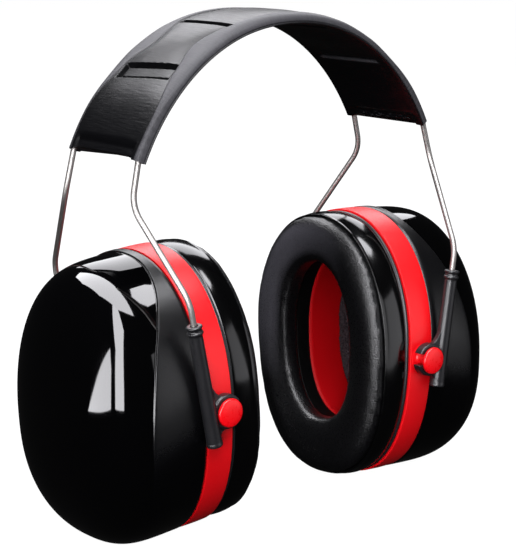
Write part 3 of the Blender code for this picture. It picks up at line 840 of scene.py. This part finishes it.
class Paint:
    """A Principled material and short ways to add procedural detail to it."""

    def __init__(self, name, colour=None, metallic=0.0, specular=0.5):
        self.material = bpy.data.materials.new(name)
        self.material.use_nodes = True
        self.tree = self.material.node_tree
        self.shader = self.tree.nodes["Principled BSDF"]
        self.set("Metallic", metallic)
        self.set("Specular IOR Level", specular)
        if colour:
            self.set("Base Color", (*colour, 1.0))

    def set(self, socket, value):
        """Give one of the shader's inputs a value, or link it to another node's output."""
        self.feed(self.shader.inputs[socket], value)

    def node(self, kind, **inputs):
        node = self.tree.nodes.new("ShaderNode" + kind)
        for name, value in inputs.items():
            self.feed(node.inputs[name.replace("_", " ")], value)
        return node

    def feed(self, socket, value):
        if isinstance(value, bpy.types.NodeSocket):
            self.tree.links.new(value, socket)
        else:
            socket.default_value = value

    def place(self, stretch=(1, 1, 1), uv=None):
        """Coordinates that stay with the piece: its object space, or a UV map in metres."""
        if uv:
            source = self.node("UVMap").outputs["UV"]
            source.node.uv_map = uv
        else:
            source = self.node("TexCoord").outputs["Object"]
        return self.node("Mapping", Vector=source, Scale=stretch).outputs["Vector"]

    def attribute(self, name):
        node = self.node("Attribute")
        node.attribute_name = name
        return node.outputs["Fac"]

    def noise(self, scale, detail=2.0, vector=None):
        """Scale counts features to the metre, here and in cells."""
        return self.node("TexNoise", Vector=vector or self.place(), Scale=scale,
                         Detail=detail).outputs["Fac"]

    def cells(self, scale, vector=None):
        return self.node("TexVoronoi", Vector=vector or self.place(),
                         Scale=scale).outputs["Distance"]

    def math(self, operation, a, b=0.0):
        node = self.node("Math")
        node.operation = operation
        self.feed(node.inputs[0], a)
        self.feed(node.inputs[1], b)
        return node.outputs[0]

    def times(self, a, b):
        return self.math("MULTIPLY", a, b)

    def span(self, value, low, high, to_low=0.0, to_high=1.0):
        """Values from low to high become to_low to to_high, and those beyond are held there."""
        return self.node("MapRange", Value=value, From_Min=low, From_Max=high,
                         To_Min=to_low, To_Max=to_high).outputs["Result"]

    def blend_colour(self, share, first, second):
        node = self.node("Mix")
        node.data_type = "RGBA"
        self.feed(node.inputs["Factor"], share)
        self.feed(node.inputs[6], (*first, 1.0))
        self.feed(node.inputs[7], (*second, 1.0))
        self.set("Base Color", node.outputs[2])

    def bump(self, height, depth, before=None):
        """Raise the surface by height times depth, in metres; before is an earlier bump."""
        node = self.node("Bump", Height=height, Strength=1.0, Distance=depth)
        if before:
            self.feed(node.inputs["Normal"], before)
        self.set("Normal", node.outputs["Normal"])
        return node.outputs["Normal"]


def shell_material():
    """Polished black moulding whose cheeks are spark-textured and matt."""
    paint = Paint("gloss_black_shell")
    matt = paint.attribute("matt")
    grain = paint.noise(2600, 3.0)
    gloss = paint.span(paint.noise(55), 0.3, 0.7, 0.030, 0.060)
    cheek = paint.span(grain, 0.2, 0.8, 0.27, 0.37)
    paint.set("Roughness", paint.span(matt, 0.0, 1.0, gloss, cheek))
    paint.blend_colour(matt, (0.0004, 0.0004, 0.0005), (0.0008, 0.0008, 0.0011))
    paint.bump(paint.times(grain, matt), 0.00005)
    return paint.material


def gloss_material():
    paint = Paint("gloss_black_base", (0.0007, 0.0007, 0.0008))
    paint.set("Roughness", paint.span(paint.noise(70), 0.3, 0.7, 0.11, 0.17))
    paint.bump(paint.noise(260), 0.000006)
    return paint.material


def red_material(name, roughness, strength=1.0, specular=0.5):
    """Red moulding with a faint satin texture and slight change of tone."""
    paint = Paint(name, specular=specular)
    low, high = (0.54, 0.0008, 0.0032), (0.60, 0.0012, 0.0045)
    paint.blend_colour(paint.span(paint.noise(40), 0.3, 0.7),
                       [strength * c for c in low], [strength * c for c in high])
    paint.set("Roughness",
              paint.span(paint.noise(900), 0.3, 0.7, roughness - 0.05, roughness + 0.05))
    paint.bump(paint.noise(1500), 0.000012)
    return paint.material


def arm_material():
    paint = Paint("satin_black_arm")
    grain = paint.noise(1900, 3.0)
    paint.set("Roughness", paint.span(grain, 0.25, 0.75, 0.26, 0.42))
    paint.blend_colour(paint.noise(120), (0.005, 0.005, 0.006), (0.009, 0.009, 0.010))
    paint.bump(grain, 0.00003)
    return paint.material


def cushion_material():
    """Soft vinyl: pebbled grain, broad waves, and painted light that makes the face's upper rear
    part paler.
    """
    paint = Paint("black_vinyl_cushion")
    pebbles, fine, broad = paint.cells(1900), paint.noise(3600, 3.0), paint.noise(90, 3.0)
    # painted light: the upper rear part of the face is made paler, with a grain speckle, to stand
    # for the light that falls on it from above
    where = paint.node("SeparateXYZ", Vector=paint.place()).outputs
    upper = paint.span(where["Z"], PIVOT_Z - 0.018, PIVOT_Z + 0.006)
    rear = paint.span(where["Y"], -0.016, 0.016)
    slope = math.tan(CUP_TILT)
    level = PIVOTS["right"].x - slope * PIVOT_Z + CUSHION_FACE
    depth = paint.math("SUBTRACT", paint.math("ABSOLUTE", where["X"]),
                       paint.times(where["Z"], slope))
    face = paint.span(depth, level + 0.0010, level + 0.0022, 1.0, 0.0)
    speckle = paint.span(fine, 0.3, 0.7, 0.7, 1.15)
    painted_light = paint.times(paint.times(upper, rear), paint.times(face, speckle))
    paint.blend_colour(painted_light, (0.0009, 0.0009, 0.0012), (0.0360, 0.0350, 0.0410))
    paint.set("Roughness", paint.span(paint.math("ADD", pebbles, fine), 0.5, 1.3, 0.22, 0.38))
    under = paint.bump(broad, 0.00006)
    under = paint.bump(pebbles, 0.00009, under)
    paint.bump(fine, 0.00007, under)
    return paint.material


def band_material():
    """Thin vinyl drawn round the band: fine creases across it, and edges painted grey for wear and
    as painted light.
    """
    paint = Paint("black_vinyl_band", specular=0.21)
    creases = paint.noise(1300, 3.0, paint.place((1, 0.12, 1), uv="flat"))
    # painted light: the grey on the strips over the wires is partly wear and partly stands for the
    # light they catch; the line by the lining's weld is a painted highlight
    worn_and_painted_light = paint.times(paint.attribute("edge"), paint.span(creases, 0.25, 0.75, 0.6, 1.05))
    paint.blend_colour(worn_and_painted_light, (0.0008, 0.0008, 0.0011), (0.034, 0.0335, 0.037))
    satin = paint.span(creases, 0.3, 0.7, 0.30, 0.38)
    paint.set("Roughness", paint.math("ADD", satin, paint.times(worn_and_painted_light, 0.22)))
    under = paint.bump(creases, 0.00007)
    paint.bump(paint.noise(3600, vector=paint.place(uv="flat")), 0.00002, under)
    return paint.material


def hem_material():
    """The same vinyl pleated, with pale streaks along the folds as painted highlights."""
    paint = Paint("black_vinyl_hem")
    folds = paint.noise(900, 3.0, paint.place((1, 0.3, 1)))
    # painted highlight: pale streaks along the folds stand for light caught on the pleats
    paint.blend_colour(paint.span(folds, 0.54, 0.70), (0.0015, 0.0015, 0.002), (0.06, 0.06, 0.065))
    paint.set("Roughness", paint.span(paint.noise(1500), 0.3, 0.7, 0.20, 0.32))
    paint.bump(folds, 0.00008)
    return paint.material


def steel_material():
    """Drawn stainless wire with faint lengthwise die lines."""
    paint = Paint("stainless_wire", metallic=1.0)
    lines = paint.noise(9000, vector=paint.place((0.02, 1, 1), uv="along"))
    paint.set("Roughness", paint.span(lines, 0.3, 0.7, 0.43, 0.53))
    paint.blend_colour(paint.noise(60, 3.0, paint.place(uv="along")),
                       (0.31, 0.296, 0.282), (0.38, 0.364, 0.348))
    paint.bump(lines, 0.000002)
    return paint.material


def foam_material():
    """Open-cell foam: dark pores between paler struts."""
    paint = Paint("grey_foam", specular=0.1)
    struts = paint.times(paint.span(paint.cells(1500), 0.15, 0.55, 0.1, 1.0),
                         paint.span(paint.cells(620), 0.1, 0.5, 0.5, 1.0))
    paint.set("Roughness", 1.0)
    paint.blend_colour(struts, (0.003, 0.002, 0.003), (0.040, 0.032, 0.036))
    paint.bump(struts, 0.0005)
    return paint.material


def plate_material():
    """Matt black moulding, where little light reaches."""
    paint = Paint("black_plate", (0.0006, 0.0006, 0.0006), specular=0.1)
    paint.set("Roughness", paint.span(paint.noise(800), 0.3, 0.7, 0.42, 0.58))
    paint.bump(paint.noise(1500), 0.00003)
    return paint.material


# ---- assembly

def paint_skirt(skirt, matrix, throat, bead):
    """Leave the walls inside the skirt matt from the mould, and the bead by the ring satin."""
    skirt.data.materials.append(throat)
    skirt.data.materials.append(bead)
    inverse = matrix.inverted()
    for face in skirt.data.polygons:
        middle = inverse @ face.center
        up = middle.z - OVAL_CENTRE
        if math.hypot(middle.y, up) < oval_reach(math.atan2(up, middle.y), THROAT_EDGE):
            face.material_index = 1
        elif middle.x > BEAD_END:
            face.material_index = 2


def build_cup(side, paints):
    matrix, body = cup_matrix(side), side + "_cup"

    def add(make, piece, slot_name, paint, node, twist=0.0):
        obj = settle(make(f"{side}_{piece}"), side, twist)
        return place(obj, matrix, body, slot_name, paints[paint], f"{side}_{node}")

    add(make_outer_shell, "dome", "shell_black", "shell", "outer_shell")
    add(make_ring, "ring", "ring_red", "red", "suspension_ring")
    for name, turn in (("front", 1), ("rear", -1)):
        stand = Matrix.Rotation(turn * math.pi / 2, 4, "X")
        place(make_stud(f"{side}_{name}_stud"), matrix @ stand, body, "ring_red", paints["button"])
    skirt = add(make_base, "skirt", "base_black", "gloss", "base_rim", SKIRT_TWIST)
    paint_skirt(skirt, matrix, paints["plate"], paints["arm"])
    add(make_inner_casing, "bowl", "bowl_red", "bowl", "inner_casing")
    add(make_foam, "foam", "liner_foam", "foam", "foam_liner")
    paint_with(frame["nodes"][side + "_cushion_plate"], paints["plate"])


def build():
    paints = {
        "shell": shell_material(), "gloss": gloss_material(), "plate": plate_material(),
        "red": red_material("red_plastic", 0.41), "button": red_material("red_button", 0.30),
        "bowl": red_material("red_bowl", 0.55, strength=0.52, specular=0.1),
        "arm": arm_material(), "cushion": cushion_material(), "band": band_material(),
        "hem": hem_material(), "steel": steel_material(), "foam": foam_material(),
    }
    for side in SIDES:
        build_cup(side, paints)

    cushion = make_cushion("cushion_form")
    for side in SIDES:
        piece = settle(copy_object(cushion, side + "_ear_cushion"), side, SKIRT_TWIST)
        place(piece, cup_matrix(side), side + "_cup", "cushion_vinyl", paints["cushion"],
              side + "_cushion")
    remove(cushion)

    arm = make_arm("arm_form")
    for side in SIDES:
        for name, across in (("front", -1), ("rear", 1)):
            place(copy_object(arm, f"{side}_{name}_slider"), arm_matrix(side, across),
                  side + "_yoke", "arm_black", paints["arm"], f"{side}_{name}_arm")
    remove(arm)

    build_headband(paints)


def blended(obj, side, slot_name, material, *nodes):
    """A piece of the headband, painted and baked where it stands, in place of its CAD nodes."""
    paint_with(obj, material)
    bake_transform(obj)
    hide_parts(*nodes)


def build_headband(paints):
    wire = make_wire("wire_form")
    for side in SIDES:
        for name, across in (("front", -1), ("rear", 1)):
            half = copy_object(wire, f"{name}_wire_{side}")
            mirror = Matrix.Diagonal((SIDES[side], across, 1, 1))
            half.data.transform(mirror)
            if mirror.determinant() < 0:
                half.data.flip_normals()
            blended(half, side, "wire_steel", paints["steel"], name + "_wire")
    remove(wire)
    for side in SIDES:
        band = make_band("headband_" + side)
        band.data.transform(half_matrix(side))
        blended(band, side, "band_vinyl", paints["band"], "headband_cover", "headband_pad")
        hem = make_hem("headband_hem_" + side)
        place(hem, half_matrix(side), side + "_side", "band_vinyl", paints["hem"],
              side + "_band_end")


# ---- camera, floor and light

TARGET = Vector((0.0010, 0, PIVOT_Z + 0.0333))
CAMERA_DISTANCE = 0.68635
CAMERA_TURN = math.radians(-39.463)    # from straight ahead, towards the wearer's left
CAMERA_DROP = math.radians(12.914)     # how far it looks down
CAMERA_ROLL = math.radians(-0.896)
CAMERA_LENS = 114.83
AIM_OFFSET = 0.0006                    # the view is aimed this much to the left


def add_camera():
    ahead = Vector((-math.sin(CAMERA_TURN) * math.cos(CAMERA_DROP),
                    math.cos(CAMERA_TURN) * math.cos(CAMERA_DROP), -math.sin(CAMERA_DROP)))
    right = ahead.cross(Vector((0, 0, 1))).normalized()
    up = right.cross(ahead)
    c, s = math.cos(CAMERA_ROLL), math.sin(CAMERA_ROLL)
    right, up = right * c + up * s, up * c - right * s
    data = bpy.data.cameras.new("camera")
    data.sensor_width = 36
    data.lens = CAMERA_LENS
    camera = bpy.data.objects.new("camera", data)
    bpy.context.scene.collection.objects.link(camera)
    place_at = TARGET - right * AIM_OFFSET - ahead * CAMERA_DISTANCE
    camera.matrix_world = Matrix((
        (right.x, up.x, -ahead.x, place_at.x), (right.y, up.y, -ahead.y, place_at.y),
        (right.z, up.z, -ahead.z, place_at.z), (0, 0, 0, 1)))
    bpy.context.scene.camera = camera


# Softboxes: name, azimuth (0 is +Y, 90 is +X), elevation, radiance, and corners as
# (sideways, up) in the panel's own plane
LIGHT_DISTANCE = 1.2
LIT_MIDDLE = Vector((0, 0, PIVOT_Z + 0.036))
SOFTBOX_COLOUR = (0.965, 0.96, 1.0)
SOFTBOXES = (
    ("front_left_strip", -141, 34, 15, (
        (-0.84, -1.09), (-0.16, -1.02), (0.20, -0.09), (0.32, 0.20), (0.16, 0.87), (0.0, 0.75),
        (-0.22, -0.19))),
    ("left_wing", -97, 3, 14, ((-0.69, -0.41), (0.14, -0.25), (0.34, 0.15), (0.41, 0.46))),
    ("front_right", 151, 2, 1.4, (
        (-0.30, -0.32), (0.60, -0.32), (0.42, 0.02), (0.29, 0.40), (-0.30, 0.40))),
    ("back_high", 34, 38, 5.0, (
        (-0.585, -0.25), (0.10, -0.30), (0.42, -0.22), (0.30, 0.20), (0.01, 0.36), (-0.16, 0.49),
        (-0.70, 0.45))),
    ("overhead", 180, 90, 14, (
        (0.02, 1.40), (-0.30, 1.40), (-0.58, 0.85), (-0.56, 0.06), (-0.23, -0.60), (0.24, -0.95),
        (0.16, -0.30), (0.09, 0.44))),
    ("overhead_front", 126, 61, 14, (
        (0.05, 0.22), (-0.20, 0.10), (-0.29, -0.13), (-0.05, -0.15), (0.15, 0.15))),
)
FLOOR_GLOW = 0.99
STUDIO_GLOW = 0.012                # the surroundings' light on the object, 1 for the camera


def add_softbox(name, azimuth, elevation, radiance, corners):
    """A flat luminous panel square to its direction from the object, unseen by the camera."""
    turn, rise = math.radians(azimuth), math.radians(elevation)
    toward = Vector((math.sin(turn) * math.cos(rise), math.cos(turn) * math.cos(rise),
                     math.sin(rise)))
    side = Vector((-math.cos(turn), math.sin(turn), 0))
    up = toward.cross(side)
    centre = LIT_MIDDLE + toward * LIGHT_DISTANCE
    mesh = bpy.data.meshes.new(name)
    mesh.from_pydata([centre + side * u + up * v for u, v in corners], [], [range(len(corners))])
    panel = bpy.data.objects.new(name, mesh)
    bpy.context.scene.collection.objects.link(panel)
    paint = Paint(name, (0, 0, 0), specular=0.0)
    paint.set("Emission Color", (*SOFTBOX_COLOUR, 1.0))
    paint.set("Emission Strength", radiance)
    mesh.materials.append(paint.material)
    panel.visible_camera = False
    panel.visible_shadow = False


def add_floor():
    bpy.ops.mesh.primitive_plane_add(size=30, location=(0, 0, 0))
    floor = bpy.context.object
    floor.name = "floor"
    paint = Paint("pale_floor", (0.05, 0.05, 0.05), specular=0.0)
    paint.set("Emission Color", (1, 1, 1, 1))
    paint.set("Emission Strength", FLOOR_GLOW)
    floor.data.materials.append(paint.material)
    floor.visible_glossy = False
    floor.visible_diffuse = False


def add_world():
    """White for the camera, nearly black for everything else, so that the softboxes shape it."""
    world = bpy.data.worlds.new("studio")
    world.use_nodes = True
    bpy.context.scene.world = world
    tree = world.node_tree
    background = tree.nodes["Background"]
    background.inputs["Color"].default_value = (1, 1, 1, 1)
    path = tree.nodes.new("ShaderNodeLightPath")
    strength = tree.nodes.new("ShaderNodeMapRange")
    strength.inputs["To Min"].default_value = STUDIO_GLOW
    tree.links.new(path.outputs["Is Camera Ray"], strength.inputs["Value"])
    tree.links.new(strength.outputs["Result"], background.inputs["Strength"])


def add_lights():
    for softbox in SOFTBOXES:
        add_softbox(*softbox)
    bpy.context.scene.view_settings.view_transform = "Standard"


add_camera()
build()
add_floor()
add_world()
add_lights()
